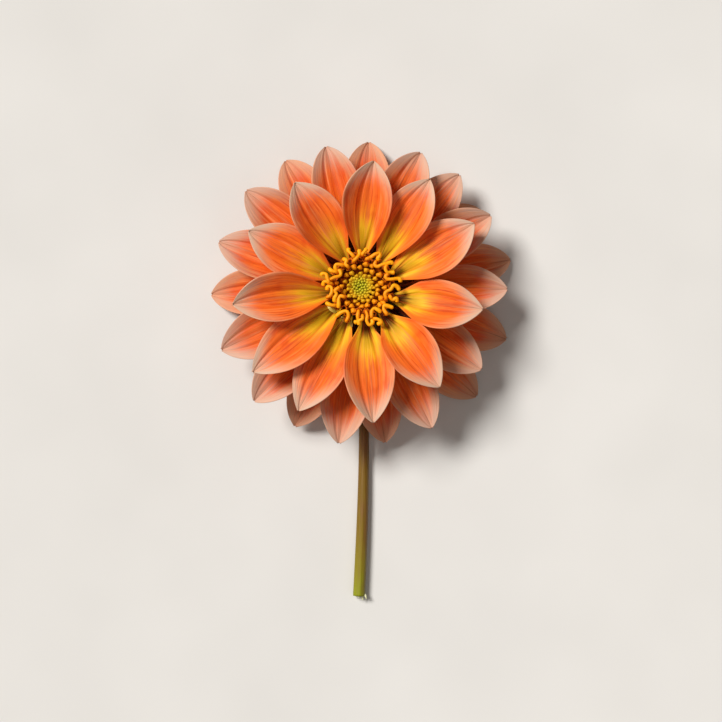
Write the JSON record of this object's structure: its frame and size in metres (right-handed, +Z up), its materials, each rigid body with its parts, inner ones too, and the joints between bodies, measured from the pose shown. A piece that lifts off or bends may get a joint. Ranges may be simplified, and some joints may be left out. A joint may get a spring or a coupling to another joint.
{
  "type": "dahlia flower",
  "caption": "Cut orange dahlia lying face up on its own straight stem, with three whorls of pointed petals round an open yellow disc.",
  "frame": {"origin": "on the surface that the flower lies on, under the middle of its box", "axes": "+Z up out of the surface and out of the flower's face, +Y along the stem from its cut end to the head, +X to the right for someone who looks down on the face with the stem towards them"},
  "size_m": [0.1022, 0.1546, 0.0337],
  "materials": {
    "petals": "soft satin, orange with a yellow base and cream tips",
    "open_disc_florets": "satin orange yellow",
    "closed_disc_florets": "satin brown orange",
    "green_disc_florets": "satin yellow green",
    "inner_bracts": "thin and membranous, olive brown",
    "outer_bracts": "fleshy, satin green",
    "stem": "smooth satin, brown olive, greener at the cut end"
  },
  "bodies": {
    "root": {"inner_petal_01": "petals", "inner_petal_02": "petals", "inner_petal_03": "petals", "inner_petal_04": "petals", "inner_petal_05": "petals", "inner_petal_06": "petals", "inner_petal_07": "petals", "inner_petal_08": "petals", "inner_petal_09": "petals", "inner_petal_10": "petals", "inner_petal_11": "petals", "middle_petal_01": "petals", "middle_petal_02": "petals", "middle_petal_03": "petals", "middle_petal_04": "petals", "middle_petal_05": "petals", "middle_petal_06": "petals", "middle_petal_07": "petals", "middle_petal_08": "petals", "middle_petal_09": "petals", "middle_petal_10": "petals", "middle_petal_11": "petals", "middle_petal_12": "petals", "back_petal_01": "petals", "back_petal_02": "petals", "back_petal_03": "petals", "back_petal_04": "petals", "back_petal_05": "petals", "back_petal_06": "petals", "back_petal_07": "petals", "back_petal_08": "petals", "back_petal_09": "petals", "open_disc_florets": "open_disc_florets", "closed_disc_florets": "closed_disc_florets", "green_disc_florets": "green_disc_florets", "inner_bract_1": "inner_bracts", "inner_bract_2": "inner_bracts", "inner_bract_3": "inner_bracts", "inner_bract_4": "inner_bracts", "inner_bract_5": "inner_bracts", "inner_bract_6": "inner_bracts", "inner_bract_7": "inner_bracts", "inner_bract_8": "inner_bracts", "outer_bract_1": "outer_bracts", "outer_bract_2": "outer_bracts", "outer_bract_3": "outer_bracts", "outer_bract_4": "outer_bracts", "outer_bract_5": "outer_bracts", "stem": "stem"}
  },
  "joints": []
}
